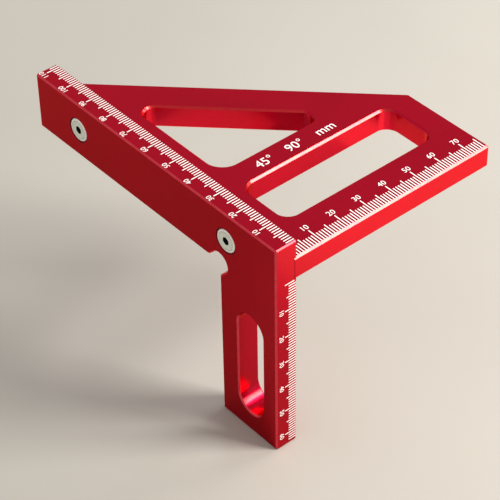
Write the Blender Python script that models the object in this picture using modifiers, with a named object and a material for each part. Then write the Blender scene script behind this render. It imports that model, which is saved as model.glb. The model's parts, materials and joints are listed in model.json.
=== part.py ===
"""Compact speed square with a drop leg: a triangular ruler plate let into the back of an L-shaped fence.

Frame: X runs along the fence and is 0 in the ruling plane, where the fence and the plate both end.
Y is 0 at the fence's back face, which bears on the side of the timber, and grows along the ruler arm.
Z is 0 at the plate's underside, which rests on top of the timber. All three scales start at the origin.
"""

import math

import bmesh
import bpy

MM = 0.001

# Fence: a beam with a leg hanging from its right-hand end, both cut from one bar.
FENCE_LENGTH = 112.0 * MM
FENCE_THICKNESS = 8.0 * MM
BEAM_TOP = 14.4 * MM
BEAM_HEIGHT = 20.0 * MM
LEG_WIDTH = 24.8 * MM
LEG_END = -64.6 * MM
FENCE_CHAMFER = 0.5 * MM
RELIEF_RADIUS = 3.5 * MM
RELIEF_SET_OUT = 0.2 * MM
LEG_SLOT_CENTRE = -11.6 * MM
LEG_SLOT_WIDTH = 11.0 * MM
LEG_SLOT_TOP = -17.9 * MM
LEG_SLOT_BOTTOM = -57.3 * MM

# Plate: a right-angled triangle with its far corner cut off square to the arm.
PLATE_THICKNESS = 8.0 * MM
PLATE_REACH = 76.6 * MM
PLATE_ALONG_FENCE = 111.0 * MM
PLATE_CHAMFER = 0.6 * MM
WINDOW_MARGIN = 8.6 * MM
TRIANGLE_WINDOW_RIGHT = -43.7 * MM
TRIANGLE_WINDOW_ALONG_FENCE = 95.6 * MM
TRIANGLE_WINDOW_RADII = (6.0 * MM, 3.4 * MM, 3.4 * MM)
LONG_WINDOW_RIGHT = -14.3 * MM
LONG_WINDOW_LEFT = -33.9 * MM
LONG_WINDOW_END = 67.4 * MM
LONG_WINDOW_RADIUS = 4.3 * MM

# Narrow flat that takes the sharpness off the fence's outer corners and the plate's square one.
EDGE_BREAK = 0.4 * MM

# Joint between them: the plate's tongue in a groove along the fence's back.
TONGUE_LENGTH = 1.0 * MM
TONGUE_RELIEF = 0.1 * MM
GROOVE_LIP = 0.05 * MM
GAP = 0.15 * MM

# Countersunk hex-socket screws, M4 x 12, and the holes that take them.
SCREW_PLACES = {"screw_left": -91.3 * MM, "screw_right": -21.7 * MM}
SCREW_HEIGHT = BEAM_TOP - BEAM_HEIGHT / 2
SCREW_LENGTH = 12.0 * MM
SCREW_SUNK = 0.05 * MM
HEAD_RADIUS = 3.85 * MM
HEAD_RIM = 0.2 * MM
CORE_RADIUS = 1.7 * MM
THREAD_RADIUS = 1.98 * MM
THREAD_PITCH = 0.7 * MM
THREAD_STEPS = 20
RIDGE_DEPTH = THREAD_PITCH * 0.46
RIDGE_END_SCALE = 0.3
TIP_CHAMFER = CORE_RADIUS / 3
SOCKET_ACROSS_FLATS = 2.5 * MM
SOCKET_DEPTH = 1.6 * MM
CLEARANCE_RADIUS = 2.25 * MM
COUNTERSINK_RADIUS = 4.3 * MM
TAPPED_RADIUS = 2.15 * MM
TAPPED_DEPTH = 5.0 * MM
DRILL_POINT = 1.2 * MM

HEAD_STEPS = 48
HOLE_STEPS = 48
DEGREES_PER_ARC_STEP = 3.75
OVERCUT = 2.0 * MM
WELD = 0.001 * MM
FLAT_PIECE_CREASE = 30
SCREW_CREASE = 25

RED_ANODISED = {"colour": (0.38, 0.006, 0.02, 1.0), "metallic": 0.7, "roughness": 0.38}
PLATED_STEEL = {"colour": (0.62, 0.64, 0.6, 1.0), "metallic": 1.0, "roughness": 0.3}


def clear_scene():
    for obj in list(bpy.data.objects):
        bpy.data.objects.remove(obj)


def new_collection(name):
    collection = bpy.data.collections.new(name)
    bpy.context.scene.collection.children.link(collection)
    return collection


def new_material(name, look):
    material = bpy.data.materials.new(name)
    material.use_nodes = True
    shader = material.node_tree.nodes["Principled BSDF"]
    shader.inputs["Base Color"].default_value = look["colour"]
    shader.inputs["Metallic"].default_value = look["metallic"]
    shader.inputs["Roughness"].default_value = look["roughness"]
    return material


def arc(centre, radius, start, end):
    """Points from one angle to another, in degrees, round a centre in a flat outline."""
    steps = max(2, math.ceil(abs(end - start) / DEGREES_PER_ARC_STEP))
    points = []
    for step in range(steps + 1):
        angle = math.radians(start + (end - start) * step / steps)
        points.append((centre[0] + radius * math.cos(angle), centre[1] + radius * math.sin(angle)))
    return points


def rounded(corners, radii):
    """A closed outline, listed anticlockwise and convex, with each corner rounded to its own radius."""
    points = []
    for index, (u, v) in enumerate(corners):
        before = corners[index - 1]
        after = corners[(index + 1) % len(corners)]
        heading_in = math.degrees(math.atan2(v - before[1], u - before[0]))
        heading_out = math.degrees(math.atan2(after[1] - v, after[0] - u))
        turn = (heading_out - heading_in) % 360
        radius = radii[index]
        back = radius * math.tan(math.radians(turn / 2))
        start = (
            u - back * math.cos(math.radians(heading_in)),
            v - back * math.sin(math.radians(heading_in)),
        )
        centre = (
            start[0] - radius * math.sin(math.radians(heading_in)),
            start[1] + radius * math.cos(math.radians(heading_in)),
        )
        points += arc(centre, radius, heading_in - 90, heading_in - 90 + turn)
    return points


def as_mesh(obj, collection):
    """Swaps an object for the closed mesh that its curve or its modifiers make."""
    bpy.context.view_layer.update()
    graph = bpy.context.evaluated_depsgraph_get()
    mesh = bpy.data.meshes.new_from_object(obj.evaluated_get(graph))
    shape = bmesh.new()
    shape.from_mesh(mesh)
    bmesh.ops.remove_doubles(shape, verts=shape.verts, dist=WELD)
    shape.to_mesh(mesh)
    shape.free()
    name = obj.name
    place = obj.matrix_world.copy()
    bpy.data.objects.remove(obj)
    solid = bpy.data.objects.new(name, mesh)
    solid.matrix_world = place
    collection.objects.link(solid)
    return solid


def flat_solid(name, outlines, thickness, chamfer, collection):
    """A flat piece centred on its own plane: the first outline is its edge and the rest are openings."""
    curve = bpy.data.curves.new(name, "CURVE")
    curve.dimensions = "2D"
    curve.fill_mode = "BOTH"
    curve.extrude = thickness / 2 - chamfer
    curve.bevel_depth = chamfer
    curve.bevel_resolution = 0
    curve.offset = -chamfer
    for outline in outlines:
        spline = curve.splines.new("POLY")
        spline.points.add(len(outline) - 1)
        for point, (u, v) in zip(spline.points, outline):
            point.co = (u, v, 0, 1)
        spline.use_cyclic_u = True
    obj = bpy.data.objects.new(name, curve)
    collection.objects.link(obj)
    return obj


def box(name, lowest, highest, collection):
    """A box between two opposite corners."""
    size = [high - low for low, high in zip(lowest, highest)]
    middle = [(low + high) / 2 for low, high in zip(lowest, highest)]
    mesh = bpy.data.meshes.new(name)
    shape = bmesh.new()
    bmesh.ops.create_cube(shape, size=1)
    bmesh.ops.scale(shape, vec=size, verts=shape.verts)
    shape.to_mesh(mesh)
    shape.free()
    obj = bpy.data.objects.new(name, mesh)
    obj.location = middle
    collection.objects.link(obj)
    return obj


def turned(name, profile, steps, collection):
    """A solid turned about its own Z from (radius, height) points, top to bottom."""
    mesh = bpy.data.meshes.new(name)
    edges = [(index, index + 1) for index in range(len(profile) - 1)]
    mesh.from_pydata([(radius, 0, height) for radius, height in profile], edges, [])
    obj = bpy.data.objects.new(name, mesh)
    collection.objects.link(obj)
    turning = obj.modifiers.new("turn", "SCREW")
    turning.axis = "Z"
    turning.steps = steps
    turning.render_steps = steps
    turning.use_merge_vertices = True
    turning.merge_threshold = WELD
    return obj


def combine(obj, operation, other):
    boolean = obj.modifiers.new(other.name, "BOOLEAN")
    boolean.operation = operation
    boolean.solver = "EXACT"
    boolean.object = other


def hide_cutter(obj):
    obj.hide_render = True
    obj.display_type = "WIRE"


def finish_piece(obj, parts, material, crease):
    """Settles a piece's cuts into its mesh, then shades it smooth but for edges over the crease angle."""
    mesh = as_mesh(obj, parts).data
    mesh.materials.clear()
    mesh.materials.append(material)
    mesh.shade_smooth()
    mesh.set_sharp_from_angle(angle=math.radians(crease))


def face_forward(obj, x, y):
    """Lays a turned piece or tool down along Y, its top facing the front, on a screw's line."""
    obj.rotation_euler = (math.radians(90), 0, 0)
    obj.location = (x, y, SCREW_HEIGHT)


def fence_outline():
    """The L, its outer corners broken, with a round-ended relief run into its inner corner at 45 degrees."""
    beam_bottom = BEAM_TOP - BEAM_HEIGHT
    leg_left = -LEG_WIDTH
    centre = (leg_left - RELIEF_SET_OUT, beam_bottom - RELIEF_SET_OUT)
    side = RELIEF_RADIUS * math.sqrt(0.5)
    mouth_left = centre[0] - side - (centre[1] + side - beam_bottom)
    mouth_bottom = centre[1] - side - (centre[0] + side - leg_left)
    relief = arc(centre, RELIEF_RADIUS, 135, -45)
    return [
        (-EDGE_BREAK, BEAM_TOP),
        (EDGE_BREAK - FENCE_LENGTH, BEAM_TOP),
        (-FENCE_LENGTH, BEAM_TOP - EDGE_BREAK),
        (-FENCE_LENGTH, beam_bottom + EDGE_BREAK),
        (EDGE_BREAK - FENCE_LENGTH, beam_bottom),
        (mouth_left, beam_bottom),
        *relief,
        (leg_left, mouth_bottom),
        (leg_left, LEG_END + EDGE_BREAK),
        (leg_left + EDGE_BREAK, LEG_END),
        (-EDGE_BREAK, LEG_END),
        (0, LEG_END + EDGE_BREAK),
        (0, BEAM_TOP - EDGE_BREAK),
    ]


def leg_slot_outline():
    radius = LEG_SLOT_WIDTH / 2
    top = arc((LEG_SLOT_CENTRE, LEG_SLOT_TOP - radius), radius, 0, 180)
    bottom = arc((LEG_SLOT_CENTRE, LEG_SLOT_BOTTOM + radius), radius, 180, 360)
    return top + bottom


def groove_cutter(cutters):
    cutter = box(
        "groove_cutter",
        (-FENCE_LENGTH - OVERCUT, -TONGUE_LENGTH, -GROOVE_LIP),
        (OVERCUT, OVERCUT, PLATE_THICKNESS + GROOVE_LIP),
        cutters,
    )
    hide_cutter(cutter)
    return cutter


def countersink_cutter(name, x, cutters):
    """A clearance hole with a 90 degree countersink, cut from the front."""
    profile = [
        (0, OVERCUT),
        (COUNTERSINK_RADIUS + OVERCUT, OVERCUT),
        (CLEARANCE_RADIUS, CLEARANCE_RADIUS - COUNTERSINK_RADIUS),
        (CLEARANCE_RADIUS, -FENCE_THICKNESS - OVERCUT),
        (0, -FENCE_THICKNESS - OVERCUT),
    ]
    cutter = turned(name, profile, HOLE_STEPS, cutters)
    face_forward(cutter, x, -FENCE_THICKNESS)
    hide_cutter(cutter)
    return cutter


def tapped_hole_cutter(name, x, cutters):
    """A blind hole with a drill point, cut from the plate's front edge."""
    profile = [
        (0, OVERCUT),
        (TAPPED_RADIUS, OVERCUT),
        (TAPPED_RADIUS, -TAPPED_DEPTH),
        (0, -TAPPED_DEPTH - DRILL_POINT),
    ]
    cutter = turned(name, profile, HOLE_STEPS, cutters)
    face_forward(cutter, x, 0)
    hide_cutter(cutter)
    return cutter


def make_fence(parts, cutters, material):
    outlines = [fence_outline(), leg_slot_outline()]
    blank = flat_solid("fence", outlines, FENCE_THICKNESS, FENCE_CHAMFER, parts)
    blank.rotation_euler = (math.radians(90), 0, 0)
    blank.location = (0, -FENCE_THICKNESS / 2, 0)
    fence = as_mesh(blank, parts)
    combine(fence, "DIFFERENCE", groove_cutter(cutters))
    for name, x in SCREW_PLACES.items():
        combine(fence, "DIFFERENCE", countersink_cutter(name + "_countersink", x, cutters))
    finish_piece(fence, parts, material, FLAT_PIECE_CREASE)


def plate_outline():
    """The triangle, its square corner broken, run past the tongue's front so that edge is cut off square."""
    front = -TONGUE_LENGTH - OVERCUT
    return [
        (0, front),
        (0, PLATE_REACH - EDGE_BREAK),
        (-EDGE_BREAK, PLATE_REACH),
        (PLATE_REACH - PLATE_ALONG_FENCE, PLATE_REACH),
        (front - PLATE_ALONG_FENCE, front),
    ]


def triangle_window_outline():
    right = TRIANGLE_WINDOW_RIGHT
    along = TRIANGLE_WINDOW_ALONG_FENCE
    corners = [
        (right, WINDOW_MARGIN),
        (right, right + along),
        (WINDOW_MARGIN - along, WINDOW_MARGIN),
    ]
    return rounded(corners, TRIANGLE_WINDOW_RADII)


def long_window_outline():
    corners = [
        (LONG_WINDOW_RIGHT, WINDOW_MARGIN),
        (LONG_WINDOW_RIGHT, LONG_WINDOW_END),
        (LONG_WINDOW_LEFT, LONG_WINDOW_END),
        (LONG_WINDOW_LEFT, WINDOW_MARGIN),
    ]
    return rounded(corners, [LONG_WINDOW_RADIUS] * len(corners))


def tongue_cutters(cutters):
    """Boxes that cut the plate's front edge square and thin its tongue a little, top and bottom."""
    left = -FENCE_LENGTH - 3 * OVERCUT
    front = -TONGUE_LENGTH - 2 * OVERCUT
    spans = {
        "plate_front_cutter": (front, GAP - TONGUE_LENGTH, -OVERCUT, PLATE_THICKNESS + OVERCUT),
        "tongue_top_cutter": (front, GAP, PLATE_THICKNESS - TONGUE_RELIEF, PLATE_THICKNESS + OVERCUT),
        "tongue_bottom_cutter": (front, GAP, -OVERCUT, TONGUE_RELIEF),
    }
    made = []
    for name, (y_low, y_high, z_low, z_high) in spans.items():
        cutter = box(name, (left, y_low, z_low), (OVERCUT, y_high, z_high), cutters)
        hide_cutter(cutter)
        made.append(cutter)
    return made


def make_plate(parts, cutters, material):
    outlines = [plate_outline(), triangle_window_outline(), long_window_outline()]
    blank = flat_solid("plate", outlines, PLATE_THICKNESS, PLATE_CHAMFER, parts)
    blank.location = (0, 0, PLATE_THICKNESS / 2)
    plate = as_mesh(blank, parts)
    for cutter in tongue_cutters(cutters):
        combine(plate, "DIFFERENCE", cutter)
    for name, x in SCREW_PLACES.items():
        combine(plate, "DIFFERENCE", tapped_hole_cutter(name + "_tapped_hole", x, cutters))
    finish_piece(plate, parts, material, FLAT_PIECE_CREASE)


def head_profile():
    """Flat face, narrow rim and 90 degree cone, with the face at height 0."""
    buried = CORE_RADIUS / 2
    return [
        (0, 0),
        (HEAD_RADIUS - HEAD_RIM, 0),
        (HEAD_RADIUS, -HEAD_RIM),
        (buried, -HEAD_RIM - (HEAD_RADIUS - buried)),
        (0, -HEAD_RIM - (HEAD_RADIUS - buried)),
    ]


def shank_profile():
    """Plain core with a chamfered tip. It starts inside the head's cone."""
    return [
        (0, -SOCKET_DEPTH),
        (CORE_RADIUS, -SOCKET_DEPTH),
        (CORE_RADIUS, TIP_CHAMFER - SCREW_LENGTH),
        (CORE_RADIUS - TIP_CHAMFER, -SCREW_LENGTH),
        (0, -SCREW_LENGTH),
    ]


def thread_ridge(name, cutters):
    """A helical ridge of diamond section, its inner half sunk in the core and its ends tapered off."""
    helix_radius = THREAD_RADIUS - RIDGE_DEPTH
    top = -HEAD_RIM - (HEAD_RADIUS - CORE_RADIUS) - THREAD_PITCH
    bottom = TIP_CHAMFER - SCREW_LENGTH + THREAD_PITCH / 2
    count = round((top - bottom) / THREAD_PITCH * THREAD_STEPS)
    taper = THREAD_STEPS / 2
    curve = bpy.data.curves.new(name, "CURVE")
    curve.dimensions = "3D"
    curve.twist_mode = "Z_UP"
    curve.bevel_depth = RIDGE_DEPTH
    curve.bevel_resolution = 0
    curve.use_fill_caps = True
    spline = curve.splines.new("POLY")
    spline.points.add(count)
    for index, point in enumerate(spline.points):
        angle = 2 * math.pi * index / THREAD_STEPS
        height = bottom + (top - bottom) * index / count
        point.co = (helix_radius * math.cos(angle), helix_radius * math.sin(angle), height, 1)
        from_end = min(index, count - index)
        point.radius = min(1, RIDGE_END_SCALE + (1 - RIDGE_END_SCALE) * from_end / taper)
    obj = bpy.data.objects.new(name, curve)
    cutters.objects.link(obj)
    ridge = as_mesh(obj, cutters)
    hide_cutter(ridge)
    return ridge


def socket_cutter(name, cutters):
    """A hexagonal socket with a flat floor."""
    radius = SOCKET_ACROSS_FLATS / math.sqrt(3)
    mesh = bpy.data.meshes.new(name)
    shape = bmesh.new()
    bmesh.ops.create_cone(
        shape, cap_ends=True, segments=6, radius1=radius, radius2=radius, depth=SOCKET_DEPTH + OVERCUT
    )
    shape.to_mesh(mesh)
    shape.free()
    cutter = bpy.data.objects.new(name, mesh)
    cutter.location = (0, 0, (OVERCUT - SOCKET_DEPTH) / 2)
    cutters.objects.link(cutter)
    hide_cutter(cutter)
    return cutter


def make_screw(name, x, parts, cutters, material):
    screw = turned(name, head_profile(), HEAD_STEPS, parts)
    shank = turned(name + "_shank", shank_profile(), THREAD_STEPS, cutters)
    hide_cutter(shank)
    place = bpy.data.objects.new(name + "_place", None)
    cutters.objects.link(place)
    face_forward(place, x, SCREW_SUNK - FENCE_THICKNESS)
    ridge = thread_ridge(name + "_thread", cutters)
    socket = socket_cutter(name + "_socket", cutters)
    for piece in (screw, shank, ridge, socket):
        piece.parent = place
    combine(screw, "UNION", shank)
    combine(screw, "UNION", ridge)
    combine(screw, "DIFFERENCE", socket)
    finish_piece(screw, parts, material, SCREW_CREASE)


def main():
    clear_scene()
    parts = new_collection("speed_square")
    cutters = new_collection("cutters")
    make_fence(parts, cutters, new_material("fence_red", RED_ANODISED))
    make_plate(parts, cutters, new_material("plate_red", RED_ANODISED))
    for name, x in SCREW_PLACES.items():
        make_screw(name, x, parts, cutters, new_material(name + "_steel", PLATED_STEEL))


main()
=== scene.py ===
"""Looks for the speed square: anodised and steel finishes, laser-marked scales, floor, lights and camera.

The frame's axes: X is 0 in the ruling plane and runs out of it, Y is 0 at the fence's back face and
runs along the ruler arm, and Z is 0 at the plate's underside. All three scales start at the origin.
Lengths are in metres, angles in degrees and colours linear, unless a comment says otherwise.
"""

import json
import math

import bmesh
import bpy
from mathutils import Matrix, Vector

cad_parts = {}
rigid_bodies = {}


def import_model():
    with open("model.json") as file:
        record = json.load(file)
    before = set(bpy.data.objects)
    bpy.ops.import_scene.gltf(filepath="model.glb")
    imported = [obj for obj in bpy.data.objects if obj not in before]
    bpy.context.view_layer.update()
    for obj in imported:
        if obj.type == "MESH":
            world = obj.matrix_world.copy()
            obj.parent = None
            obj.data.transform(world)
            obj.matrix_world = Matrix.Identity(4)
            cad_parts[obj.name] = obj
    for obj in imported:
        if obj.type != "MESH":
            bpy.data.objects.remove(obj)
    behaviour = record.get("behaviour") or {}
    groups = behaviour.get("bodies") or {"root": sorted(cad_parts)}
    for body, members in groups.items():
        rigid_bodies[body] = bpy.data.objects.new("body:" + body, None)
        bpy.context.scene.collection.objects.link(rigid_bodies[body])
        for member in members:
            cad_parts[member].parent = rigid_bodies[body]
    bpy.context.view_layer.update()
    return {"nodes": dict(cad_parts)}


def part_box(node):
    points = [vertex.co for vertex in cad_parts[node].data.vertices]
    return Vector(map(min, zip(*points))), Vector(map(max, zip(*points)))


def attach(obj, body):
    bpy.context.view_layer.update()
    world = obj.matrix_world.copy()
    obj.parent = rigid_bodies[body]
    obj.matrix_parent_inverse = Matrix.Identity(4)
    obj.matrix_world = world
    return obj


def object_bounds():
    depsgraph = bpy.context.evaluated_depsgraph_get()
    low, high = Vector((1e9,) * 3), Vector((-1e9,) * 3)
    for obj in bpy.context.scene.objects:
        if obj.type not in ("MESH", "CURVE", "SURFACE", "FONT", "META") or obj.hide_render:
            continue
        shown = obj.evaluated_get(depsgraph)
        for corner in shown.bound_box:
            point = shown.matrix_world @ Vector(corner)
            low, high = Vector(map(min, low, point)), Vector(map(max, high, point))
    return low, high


MM = 0.001
X, Y, Z = 0, 1, 2
ROOT = "root"

# ---------------------------------------------------------------- camera, lights and floor

# The camera, at the photographed angle. The azimuth is 0 looking along +Y and 90 looking along -X.
CAMERA_PLACE = (308.6 * MM, -276.15 * MM, 368.3 * MM)
CAMERA_AZIMUTH = 49.995
CAMERA_ELEVATION = 40.81
CAMERA_ROLL = -0.981
CAMERA_CLIP = (0.01, 20.0)
# The lens and the sensor are in millimetres.
LENS = 141.73
SENSOR_WIDTH = 36.0

# An even pale room, and two softboxes that face a point near the object's middle. Powers are in watts.
WORLD_COLOUR = (1.0, 0.98, 0.96, 1)
WORLD_STRENGTH = 0.68
LIGHT_TARGET = (-45 * MM, 20 * MM, 0)
KEY_LIGHT = {
    "direction": (0.65, 0.49, 0.58),
    "distance": 0.8,
    "size": (0.30, 0.30),
    "power": 9.0,
    "colour": (1.0, 0.97, 0.89),
}
BACK_LIGHT = {
    "direction": (0.1, 1.0, 0.55),
    "distance": 0.75,
    "size": (0.35, 0.20),
    "power": 2.5,
    "colour": (1.0, 1.0, 1.0),
}
# Cards stand in for the warm light that a board throws back on to the walls above it. One is just
# above the floor beside the arm, and one is close under each of the plate's windows.
CARD_COLOUR = (1.0, 0.80, 0.42)
CARDS = {
    "side_card": {"place": (122 * MM, 138 * MM, -60 * MM), "size": (170 * MM, 190 * MM), "power": 0.11},
    "triangle_card": {"place": (-68 * MM, 22 * MM, -3 * MM), "size": (36 * MM, 26 * MM), "power": 0.0018},
    "window_card": {"place": (-28 * MM, 61.5 * MM, -3 * MM), "size": (28 * MM, 14 * MM), "power": 0.0007},
}
# A light shines along its own -Z, so this half turn about X points it up.
FACING_UP = (math.pi, 0, 0)

FLOOR_SIZE = 6.0
FLOOR_GAP = 0.05 * MM
FLOOR_COLOURS = ((0.415, 0.395, 0.360, 1), (0.440, 0.420, 0.385, 1))
FLOOR_ROUGHNESS = 0.75
FLOOR_SPECULAR = 0.2

# ---------------------------------------------------------------- marks

# A mark stands a hair proud of its face, so that it shows, and its base is sunk in the metal.
MARK_PROUD = 0.012 * MM
MARK_SUNK = 0.03 * MM
TICK_WIDTH = 0.34 * MM
# Corners of a mark closer than this are one.
WELD = 0.0005 * MM

# Scales count millimetres from the ruling corner, and first and last are the marks that fit on the
# flat. A tick starts where the flat does, past its chamfer, and short, middle and long are how far
# from the edge it ends. The leg's zero starts later, clear of the fence's groove.
BEAM_TICKS = {
    "first": 1,
    "last": 111,
    "start": 0.5 * MM,
    "short": 3.4 * MM,
    "middle": 4.4 * MM,
    "long": 5.2 * MM,
}
ARM_TICKS = {
    "first": 1,
    "last": 75,
    "start": 0.6 * MM,
    "short": 4.3 * MM,
    "middle": 5.4 * MM,
    "long": 6.5 * MM,
}
LEG_TICKS = {
    "first": 1,
    "last": 63,
    "start": 0.5 * MM,
    "zero_start": 1.05 * MM,
    "short": 3.2 * MM,
    "middle": 4.0 * MM,
    "long": 4.6 * MM,
}
# Ticks at multiples of these are longer ones, and the wider step has the numbers.
MIDDLE_STEP = 5
LONG_STEP = 10
# How far the numbers' middles are from the edge, and how tall the digits are.
BEAM_DIGITS = {"centre": 6.55 * MM, "height": 1.75 * MM}
ARM_DIGITS = {"centre": 8.1 * MM, "height": 2.0 * MM}
LEG_DIGITS = {"centre": 5.85 * MM, "height": 1.7 * MM}
LEGEND_TEXT = "45°    90°    mm"
LEGEND_HEIGHT = 3.4 * MM
LEGEND_CENTRE = (-38.7 * MM, 33.5 * MM)

# The built-in font: its digits' height as a share of its size, and the steps in each of its curves.
DIGIT_SHARE = 0.72
FONT_STEPS = 3

# ---------------------------------------------------------------- finishes

# The Mix node has sockets for each type of data. These are the ones for colours.
MIX_FIRST, MIX_SECOND, MIX_RESULT = 6, 7, 2

# Noise patterns. A scale of 1000 makes a pattern about 1 mm across.
CLOUDS = {"scale": 38, "detail": 2.0}
STREAKS = {"scale": 2600, "detail": 2.0}
BLASTING = {"scale": 5200, "detail": 2.0, "roughness": 0.6}
WEAR_AND_HIGHLIGHT_NOISE = {"scale": 420, "detail": 4.0, "roughness": 0.65}
STEEL_PATCHES = {"scale": 500, "detail": 2.0}
STEEL_SPECKS = {"scale": 3000, "detail": 3.0}
BURNS = {"scale": 2400, "detail": 3.0}
FLOOR_TONES = {"scale": 9, "detail": 3.0}
# Streaks come from shrinking a pattern's coordinates by this along the grain.
STREAK_SHRINK = 0.03

# The spans of a noise's values over which one look fades into another. A narrow one is crisper.
WIDE_SPAN = (0.3, 0.7)
NARROW_SPAN = (0.35, 0.65)
BLASTING_SPAN = (0.42, 0.68)
WEAR_AND_HIGHLIGHT_SPAN = (0.30, 0.62)
# A mask's whole range.
WHOLE = (0, 1)

# Bumps, each a height and a strength.
BLASTING_BUMP = (0.010 * MM, 0.5)
STREAK_BUMP = (0.005 * MM, 0.35)
TURNING_BUMP = (0.004 * MM, 0.4)
BURN_BUMP = (0.003 * MM, 0.3)

# Anodising goes in soft clouds between its two reds, with a paler blasted grain over them. Edges
# show a lighter red that is partly thinner dye from wear and partly a painted highlight, and the
# countersinks get a painted shade.
ANODISED_DEEP = (0.46, 0.0008, 0.0205, 1)
ANODISED = (0.51, 0.0010, 0.0235, 1)
ANODISED_GRAIN = (0.58, 0.0022, 0.0300, 1)
# The edges' lighter reds are part wear and part painted highlight.
FENCE_EDGE_WEAR_AND_HIGHLIGHT = (0.70, 0.0550, 0.0780, 1)
PLATE_EDGE_WEAR_AND_HIGHLIGHT = (0.60, 0.0310, 0.0265, 1)
# Painted shade for the countersinks.
COUNTERSINK_PAINTED_SHADE = (0.10, 0.0020, 0.0050, 1)
# What a glancing reflection is tinted with.
GLANCING_TINT = (1.0, 0.22, 0.28, 1)
# How far the grain's red covers the body's, and the edge's lighter red, part wear and part
# painted highlight, covers both.
GRAIN_SHARE = (0, 0.7)
WEAR_AND_HIGHLIGHT_SHARE = (0.6, 1)
# The roughness of a plain face, what the grain and the streaks add to it, what a chamfer takes off,
# and what an edge break adds.
ANODISED_ROUGHNESS = 0.27
GRAIN_ROUGHNESS = (0, 0.07)
STREAK_ROUGHNESS = (0, 0.06)
CHAMFER_SMOOTHER = 0.08
EDGE_BREAK_ROUGHER = 0.22
COAT_WEIGHT = 0.18
COAT_ROUGHNESS = 0.18

# Spans of a normal's part along an axis. The first holds 0.707, for faces at 45 degrees to the axis,
# and over the second a face that turns towards +X fades in.
HALF_TILT = (0.6, 0.8)
RIGHT_TURN = (0.2, 0.6)

# Screw heads: how far a countersink reaches, and the hexagonal socket's size across flats, with a
# margin so that the shade reaches its corners.
SINK_RADIUS = 4.6 * MM
SOCKET_ACROSS_FLATS = 2.5 * MM
SOCKET_MARGIN = 1.05
SOCKET_SHADE_DEPTH = 0.12 * MM
# The head's rim, brightened by a painted highlight, and a ring of painted shade inside it, as shares of
# the head's radius.
RIM_INNER = 0.79
RIM_BLEND = 0.05
RING_SHADE_WIDTH = 0.08
TURNING_PITCH = 0.16 * MM
STEEL_COLOURS = ((0.74, 0.78, 0.66, 1), (0.82, 0.85, 0.74, 1))
# The ring's painted shade, and the rim's painted highlight.
RING_PAINTED_SHADE = (0.46, 0.48, 0.42, 1)
RIM_PAINTED_HIGHLIGHT = (1.0, 0.93, 0.88, 1)
# The socket's painted shade.
SOCKET_PAINTED_SHADE = (0.012, 0.012, 0.013, 1)
STEEL_ROUGHNESS = (0.3, 0.44)
RIM_SMOOTHER = 0.08
# The dull plating hides most of the metal's own shine.
STEEL_METALLIC = 0.25

WHITE_COLOURS = ((0.83, 0.79, 0.78, 1), (0.96, 0.94, 0.93, 1))
WHITE_ROUGHNESS = (0.5, 0.7)


def clear_scene():
    """Takes out what Blender starts with."""
    for obj in list(bpy.data.objects):
        bpy.data.objects.remove(obj)


def show(name, data):
    """A new object in the scene."""
    obj = bpy.data.objects.new(name, data)
    bpy.context.scene.collection.objects.link(obj)
    return obj


def node_box(name):
    """A CAD node's lowest and highest corners."""
    low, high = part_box(name)
    return Vector(low), Vector(high)


def node_centre(name):
    """The middle of a CAD node's box."""
    low, high = node_box(name)
    return (low + high) / 2


# ---------------------------------------------------------------- materials


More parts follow.
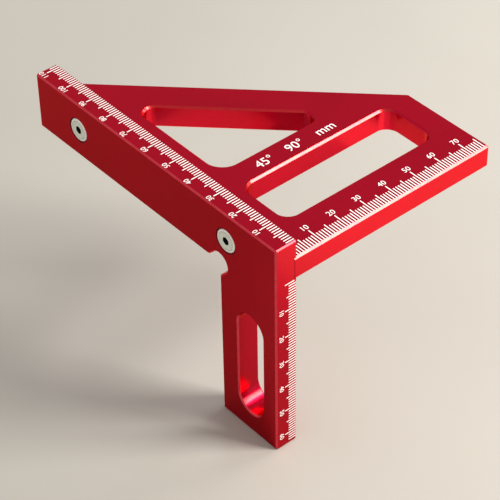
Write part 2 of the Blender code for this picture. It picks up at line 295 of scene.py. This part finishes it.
class Nodes:
    """Short names for building a material's nodes."""

    def __init__(self, name):
        self.material = bpy.data.materials.new(name)
        self.material.use_nodes = True
        self.tree = self.material.node_tree
        self.shader = self.tree.nodes["Principled BSDF"]

    def feed(self, socket, value):
        """Feeds a socket from another node's output, or sets it to a plain number, point or colour."""
        if isinstance(value, bpy.types.NodeSocket):
            self.tree.links.new(value, socket)
        else:
            socket.default_value = value

    def surface(self, name, value):
        """Feeds one of the shader's own sockets."""
        self.feed(self.shader.inputs[name], value)

    def add(self, kind, inputs, **settings):
        """A new node. Its inputs are fed after its settings are made, and are known by name or number."""
        node = self.tree.nodes.new(kind)
        for key, value in settings.items():
            setattr(node, key, value)
        for key, value in inputs.items():
            self.feed(node.inputs[key], value)
        return node

    def math(self, operation, *values):
        return self.add("ShaderNodeMath", dict(enumerate(values)), operation=operation).outputs[0]

    def vector_math(self, operation, *values):
        """The node's outputs: Vector, or Value for a length."""
        return self.add("ShaderNodeVectorMath", dict(enumerate(values)), operation=operation).outputs

    def coordinate(self, kind):
        """A texture coordinate: Object for the point in metres, or Normal for the way its face looks."""
        return self.add("ShaderNodeTexCoord", {}).outputs[kind]

    def parts(self, vector):
        """A vector's X, Y and Z."""
        return self.add("ShaderNodeSeparateXYZ", {"Vector": vector}).outputs

    def object_point(self, stretch=(1, 1, 1)):
        """The point on the object, stretched for streaks."""
        sockets = {"Vector": self.coordinate("Object"), "Scale": stretch}
        return self.add("ShaderNodeMapping", sockets).outputs["Vector"]

    def noise(self, point, scale, detail, roughness=0.5):
        sockets = {"Vector": point, "Scale": scale, "Detail": detail, "Roughness": roughness}
        return self.add("ShaderNodeTexNoise", sockets).outputs["Fac"]

    def spread(self, value, span, result):
        """Maps a span of values on to a range of results, held at its ends."""
        sockets = {"Value": value}
        sockets.update(zip(("From Min", "From Max", "To Min", "To Max"), (*span, *result)))
        return self.add("ShaderNodeMapRange", sockets, clamp=True).outputs["Result"]

    def mix(self, share, first, second):
        """Mixes two colours."""
        sockets = {"Factor": share, MIX_FIRST: first, MIX_SECOND: second}
        return self.add("ShaderNodeMix", sockets, data_type="RGBA").outputs[MIX_RESULT]

    def bump(self, height, size, before=None):
        """Bumps on top of any that came before. size is their height and strength."""
        distance, strength = size
        sockets = {"Height": height, "Distance": distance, "Strength": strength}
        if before is not None:
            sockets["Normal"] = before
        return self.add("ShaderNodeBump", sockets).outputs["Normal"]

    def chamfer_masks(self, axis):
        """Two masks: the chamfers, which tilt 45 degrees to one axis, and the right-hand edge breaks.

        An edge break faces half along +X and half along the third axis.
        """
        normal = self.parts(self.coordinate("Normal"))
        lean = self.math("ABSOLUTE", normal[axis])
        over = self.math("GREATER_THAN", lean, HALF_TILT[0])
        under = self.math("LESS_THAN", lean, HALF_TILT[1])
        chamfer = self.math("MULTIPLY", over, under)
        third = X + Y + Z - axis
        right = self.math("GREATER_THAN", normal[X], HALF_TILT[0])
        beside = self.math("GREATER_THAN", normal[third], HALF_TILT[0])
        return chamfer, self.math("MULTIPLY", right, beside)

    def facing_right(self):
        """A mask of the faces that look along +X, flat on or at a slant."""
        normal = self.parts(self.coordinate("Normal"))
        return self.spread(normal[X], RIGHT_TURN, WHOLE)

    def axis_distance(self, centre):
        """Distance in the XZ plane from a screw's axis."""
        shift = self.vector_math("SUBTRACT", self.coordinate("Object"), centre)["Vector"]
        flat = self.vector_math("MULTIPLY", shift, (1, 0, 1))["Vector"]
        return self.vector_math("LENGTH", flat)["Value"]


def anodised(name, grain_axis, chamfer_axis, edge_wear_and_highlight, sinks=(), key_lit_edges_only=False):
    """Red anodised aluminium: fine blasted grain, faint drawn streaks, and chamfers a little brighter,
    partly from wear and partly as a painted highlight.

    sinks are screw centres, round which the countersinks get a painted shade. The last argument limits the
    lighter edges to those that face along +X, where the key light glints: there the lighter red is painted
    highlight as well as wear.
    """
    make = Nodes(name)
    even = make.object_point()
    stretch = [1, 1, 1]
    stretch[grain_axis] = STREAK_SHRINK
    streak = make.noise(make.object_point(stretch), **STREAKS)
    blast = make.noise(even, **BLASTING)
    chamfer, edge_break = make.chamfer_masks(chamfer_axis)

    cloud = make.noise(even, **CLOUDS)
    body = make.mix(make.spread(cloud, NARROW_SPAN, WHOLE), ANODISED_DEEP, ANODISED)
    body = make.mix(make.spread(blast, BLASTING_SPAN, GRAIN_SHARE), body, ANODISED_GRAIN)
    # Chamfers and edge breaks take a lighter red, part wear and part painted highlight.
    worn_and_lit = make.spread(make.noise(even, **WEAR_AND_HIGHLIGHT_NOISE), WEAR_AND_HIGHLIGHT_SPAN, WEAR_AND_HIGHLIGHT_SHARE)
    edge = make.math("MULTIPLY", make.math("MAXIMUM", chamfer, edge_break), worn_and_lit)
    # With the last argument, only faces that look along +X, where the key light glints, keep the lighter
    # red.
    if key_lit_edges_only:
        edge = make.math("MULTIPLY", edge, make.facing_right())
    colour = make.mix(edge, body, edge_wear_and_highlight)
    # Painted shade in the countersinks round the screws.
    for centre in sinks:
        near = make.math("LESS_THAN", make.axis_distance(centre), SINK_RADIUS)
        colour = make.mix(make.math("MULTIPLY", near, chamfer), colour, COUNTERSINK_PAINTED_SHADE)
    make.surface("Base Color", colour)

    grain = make.spread(blast, WIDE_SPAN, GRAIN_ROUGHNESS)
    lines = make.spread(streak, WIDE_SPAN, STREAK_ROUGHNESS)
    rough = make.math("ADD", make.math("ADD", grain, lines), ANODISED_ROUGHNESS)
    rough = make.math("SUBTRACT", rough, make.math("MULTIPLY", chamfer, CHAMFER_SMOOTHER))
    rough = make.math("ADD", rough, make.math("MULTIPLY", edge_break, EDGE_BREAK_ROUGHER))
    make.surface("Roughness", rough)

    make.surface("Normal", make.bump(streak, STREAK_BUMP, before=make.bump(blast, BLASTING_BUMP)))
    make.surface("Metallic", 1)
    make.surface("Specular Tint", GLANCING_TINT)
    make.surface("Coat Weight", COAT_WEIGHT)
    make.surface("Coat Roughness", COAT_ROUGHNESS)
    return make.material


def socket_shade(make, distance, bottom):
    """A mask for painted shade in a screw's hexagonal socket, which fades in with depth. bottom is the
    screw's lowest Y.
    """
    inside = make.math("LESS_THAN", distance, SOCKET_ACROSS_FLATS / math.sqrt(3) * SOCKET_MARGIN)
    depth = make.math("SUBTRACT", make.parts(make.coordinate("Object"))[Y], bottom)
    return make.math("MULTIPLY", inside, make.spread(depth, (0, SOCKET_SHADE_DEPTH), WHOLE))


def plated_steel(name, node):
    """Plated steel with a lathe's rings round the screw's axis, a painted highlight at the rim, a ring of
    painted shade inside it, and painted shade in the socket.
    """
    low, high = node_box(node)
    radius = (high.x - low.x) / 2
    make = Nodes(name)
    distance = make.axis_distance(node_centre(node))
    even = make.object_point()
    # A painted highlight on the rim, and a ring of painted shade just inside it.
    rim = make.spread(distance, (RIM_INNER * radius, (RIM_INNER + RIM_BLEND) * radius), WHOLE)
    ring_shade = make.spread(distance, ((RIM_INNER - RING_SHADE_WIDTH) * radius, RIM_INNER * radius), WHOLE)
    ring_shade = make.math("SUBTRACT", ring_shade, rim)

    colour = make.mix(make.spread(make.noise(even, **STEEL_PATCHES), NARROW_SPAN, WHOLE), *STEEL_COLOURS)
    colour = make.mix(ring_shade, colour, RING_PAINTED_SHADE)
    colour = make.mix(rim, colour, RIM_PAINTED_HIGHLIGHT)
    # The socket gets a painted shade.
    make.surface("Base Color", make.mix(socket_shade(make, distance, low.y), colour, SOCKET_PAINTED_SHADE))

    rough = make.spread(make.noise(even, **STEEL_SPECKS), WIDE_SPAN, STEEL_ROUGHNESS)
    make.surface("Roughness", make.math("SUBTRACT", rough, make.math("MULTIPLY", rim, RIM_SMOOTHER)))
    rings = make.math("SINE", make.math("MULTIPLY", distance, 2 * math.pi / TURNING_PITCH))
    make.surface("Normal", make.bump(rings, TURNING_BUMP))
    make.surface("Metallic", STEEL_METALLIC)
    return make.material


def laser_white(name):
    """Bleached laser marking: matt, slightly uneven white."""
    make = Nodes(name)
    burn = make.noise(make.object_point(), **BURNS)
    make.surface("Base Color", make.mix(make.spread(burn, WIDE_SPAN, WHOLE), *WHITE_COLOURS))
    make.surface("Roughness", make.spread(burn, WIDE_SPAN, WHITE_ROUGHNESS))
    make.surface("Normal", make.bump(burn, BURN_BUMP))
    return make.material


def floor_finish():
    """Plain pale matt floor with a very faint change of tone."""
    make = Nodes("studio_floor")
    tone = make.noise(make.object_point(), **FLOOR_TONES)
    make.surface("Base Color", make.mix(make.spread(tone, WIDE_SPAN, WHOLE), *FLOOR_COLOURS))
    make.surface("Roughness", FLOOR_ROUGHNESS)
    make.surface("Specular IOR Level", FLOOR_SPECULAR)
    return make.material


def finish_node(node, material):
    """Gives a CAD solid its finish. Its shape is right, so it stays as it is."""
    for place in frame["nodes"][node].material_slots:
        place.material = material


def finish_nodes():
    """Finishes for the CAD's solids. The fence's grain runs along X, and the plate's along its arm."""
    screws = ("screw_left", "screw_right")
    sinks = [node_centre(screw) for screw in screws]
    fence = anodised("fence_anodised", grain_axis=X, chamfer_axis=Y, edge_wear_and_highlight=FENCE_EDGE_WEAR_AND_HIGHLIGHT, sinks=sinks)
    plate = anodised("plate_anodised", grain_axis=Y, chamfer_axis=Z, edge_wear_and_highlight=PLATE_EDGE_WEAR_AND_HIGHLIGHT, key_lit_edges_only=True)
    finish_node("fence", fence)
    finish_node("plate", plate)
    for screw in screws:
        finish_node(screw, plated_steel(screw + "_steel", screw))


# ---------------------------------------------------------------- marks


def add_tick(shape, place, along, start, end):
    """One tick: a thin closed bar across the scale, in the scale's own flat frame."""
    half = TICK_WIDTH / 2
    outline = ((along - half, start), (along + half, start), (along + half, end), (along - half, end))
    bottom = [shape.verts.new(place @ Vector((*corner, -MARK_SUNK))) for corner in outline]
    top = [shape.verts.new(place @ Vector((*corner, MARK_PROUD))) for corner in outline]
    shape.faces.new(bottom[::-1])
    shape.faces.new(top)
    for index in range(len(outline)):
        after = (index + 1) % len(outline)
        shape.faces.new((bottom[index], bottom[after], top[after], top[index]))


def text_mesh(text, height):
    """Flat, closed lettering in the built-in font, centred on its own origin, digits of the given height."""
    curve = bpy.data.curves.new("lettering", "FONT")
    curve.body = text
    curve.size = height / DIGIT_SHARE
    curve.align_x = "CENTER"
    curve.align_y = "CENTER"
    curve.extrude = (MARK_PROUD + MARK_SUNK) / 2
    curve.resolution_u = FONT_STEPS
    obj = show("lettering", curve)
    bpy.context.view_layer.update()
    graph = bpy.context.evaluated_depsgraph_get()
    mesh = bpy.data.meshes.new_from_object(obj.evaluated_get(graph))
    bpy.data.objects.remove(obj)
    points = [v.co for v in mesh.vertices]
    middle = Vector((
        (min(p.x for p in points) + max(p.x for p in points)) / 2,
        (min(p.y for p in points) + max(p.y for p in points)) / 2,
        0,
    ))
    mesh.transform(Matrix.Translation(Vector((0, 0, (MARK_PROUD - MARK_SUNK) / 2)) - middle))
    return mesh


def add_text(shape, text, height, place):
    """Lettering, added to a set of marks."""
    mesh = text_mesh(text, height)
    mesh.transform(place)
    shape.from_mesh(mesh)
    bpy.data.meshes.remove(mesh)


def frame_of(origin, along, up):
    """A flat frame on a face: its x along the scale, its y up the digits or ticks, its z out of the face."""
    along = Vector(along)
    up = Vector(up)
    out = along.cross(up)
    flat = Matrix((along, up, out)).transposed().to_4x4()
    flat.translation = Vector(origin)
    return flat


def finish_marks(name, shape, material):
    """Closes a set of marks into one piece.

    The font's fill leaves triangles with no area, so the triangles are re-flowed.
    """
    bmesh.ops.remove_doubles(shape, verts=shape.verts, dist=WELD)
    bmesh.ops.beautify_fill(shape, faces=shape.faces, edges=shape.edges)
    bmesh.ops.recalc_face_normals(shape, faces=shape.faces)
    mesh = bpy.data.meshes.new(name)
    shape.to_mesh(mesh)
    shape.free()
    mesh.materials.append(material)
    obj = show(name, mesh)
    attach(obj, ROOT)


def tick_length(ticks, count):
    """How far from the edge a count's tick ends."""
    if count % LONG_STEP == 0:
        return ticks["long"]
    if count % MIDDLE_STEP == 0:
        return ticks["middle"]
    return ticks["short"]


def make_scale(name, ticks, digits, face, material):
    """Ticks every millimetre, longer at 5 and 10, with a number at each 10.

    face is (origin, along, up, grow): the scale runs along, its numbers stand up, and its ticks and
    numbers lie on the side of the origin's line that grow says, 1 for up and -1 for down.
    """
    origin, along, up, grow = face
    flat = frame_of(origin, along, up)
    shape = bmesh.new()
    for count in range(ticks["first"], ticks["last"] + 1):
        add_tick(shape, flat, count * MM, grow * ticks["start"], grow * tick_length(ticks, count))
        if count % LONG_STEP == 0:
            place = flat @ Matrix.Translation((count * MM, grow * digits["centre"], 0))
            add_text(shape, str(count), digits["height"], place)
    if "zero_start" in ticks:
        add_tick(shape, flat, 0, grow * ticks["zero_start"], grow * ticks["long"])
    finish_marks(name, shape, material)


def make_scales(white):
    """The beam's scale runs to the left along its top, the arm's away from the fence, and the leg's down."""
    beam_top = node_box("fence")[1].z
    plate_top = node_box("plate")[1].z
    beam = ((0, 0, beam_top), (-1, 0, 0), (0, -1, 0), 1)
    arm = ((0, 0, plate_top), (0, 1, 0), (-1, 0, 0), 1)
    leg = ((0, 0, 0), (0, 0, -1), (0, 1, 0), -1)
    make_scale("scale_beam", BEAM_TICKS, BEAM_DIGITS, beam, white)
    make_scale("scale_arm", ARM_TICKS, ARM_DIGITS, arm, white)
    make_scale("scale_leg", LEG_TICKS, LEG_DIGITS, leg, white)


def make_legend(white):
    """Generic lettering on the bar between the windows."""
    plate_top = node_box("plate")[1].z
    shape = bmesh.new()
    place = frame_of((*LEGEND_CENTRE, plate_top), (0, 1, 0), (-1, 0, 0))
    add_text(shape, LEGEND_TEXT, LEGEND_HEIGHT, place)
    finish_marks("legend", shape, white)


def make_marks():
    """Every scale and the legend share one finish."""
    white = laser_white("laser_white")
    make_scales(white)
    make_legend(white)


# ---------------------------------------------------------------- stage


def make_floor():
    """A square floor, a hair below the object."""
    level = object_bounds()[0][Z] - FLOOR_GAP
    half = FLOOR_SIZE / 2
    corners = [(-half, -half, level), (half, -half, level), (half, half, level), (-half, half, level)]
    mesh = bpy.data.meshes.new("floor")
    mesh.from_pydata(corners, [], [(0, 1, 2, 3)])
    mesh.materials.append(floor_finish())
    floor = show("floor", mesh)


def turn(degrees, axis):
    """A rotation about an axis, as a 4 by 4 matrix."""
    return Matrix.Rotation(math.radians(degrees), 4, axis)


def make_camera():
    """A camera that isn't turned looks straight down, so it is tilted up from there."""
    data = bpy.data.cameras.new("camera")
    data.sensor_width = SENSOR_WIDTH
    data.lens = LENS
    data.clip_start, data.clip_end = CAMERA_CLIP
    camera = show("camera", data)
    way = turn(CAMERA_AZIMUTH, "Z") @ turn(90 - CAMERA_ELEVATION, "X") @ turn(CAMERA_ROLL, "Z")
    camera.matrix_world = Matrix.Translation(CAMERA_PLACE) @ way
    bpy.context.scene.camera = camera


def area_light(name, size, power, colour):
    """A rectangular light, for the caller to place."""
    data = bpy.data.lights.new(name, "AREA")
    data.shape = "RECTANGLE"
    data.size, data.size_y = size
    data.energy = power
    data.color = colour
    return show(name, data)


def softbox(name, direction, distance, size, power, colour):
    """A light that faces the object from a direction."""
    light = area_light(name, size, power, colour)
    way = Vector(direction).normalized()
    light.location = Vector(LIGHT_TARGET) + way * distance
    light.rotation_euler = way.to_track_quat("Z", "Y").to_euler()


def low_card(name, place, size, power):
    """A warm glowing card that faces up, for the walls above it to mirror. The camera doesn't see it."""
    light = area_light(name, size, power, CARD_COLOUR)
    light.location = place
    light.rotation_euler = FACING_UP
    light.visible_camera = False


def make_lights():
    """The room's own light, the softboxes and the cards."""
    world = bpy.data.worlds.new("studio")
    world.use_nodes = True
    background = world.node_tree.nodes["Background"]
    background.inputs["Color"].default_value = WORLD_COLOUR
    background.inputs["Strength"].default_value = WORLD_STRENGTH
    bpy.context.scene.world = world
    softbox("key_light", **KEY_LIGHT)
    softbox("back_light", **BACK_LIGHT)
    for name, card in CARDS.items():
        low_card(name, **card)


def set_view():
    """The Standard view keeps the anodising's deep reds. A denoiser's prefilter would blur the ticks."""
    bpy.context.scene.view_settings.view_transform = "Standard"
    bpy.context.scene.cycles.denoising_prefilter = "NONE"


clear_scene()
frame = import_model()

finish_nodes()
make_marks()
make_floor()
make_camera()
make_lights()
set_view()
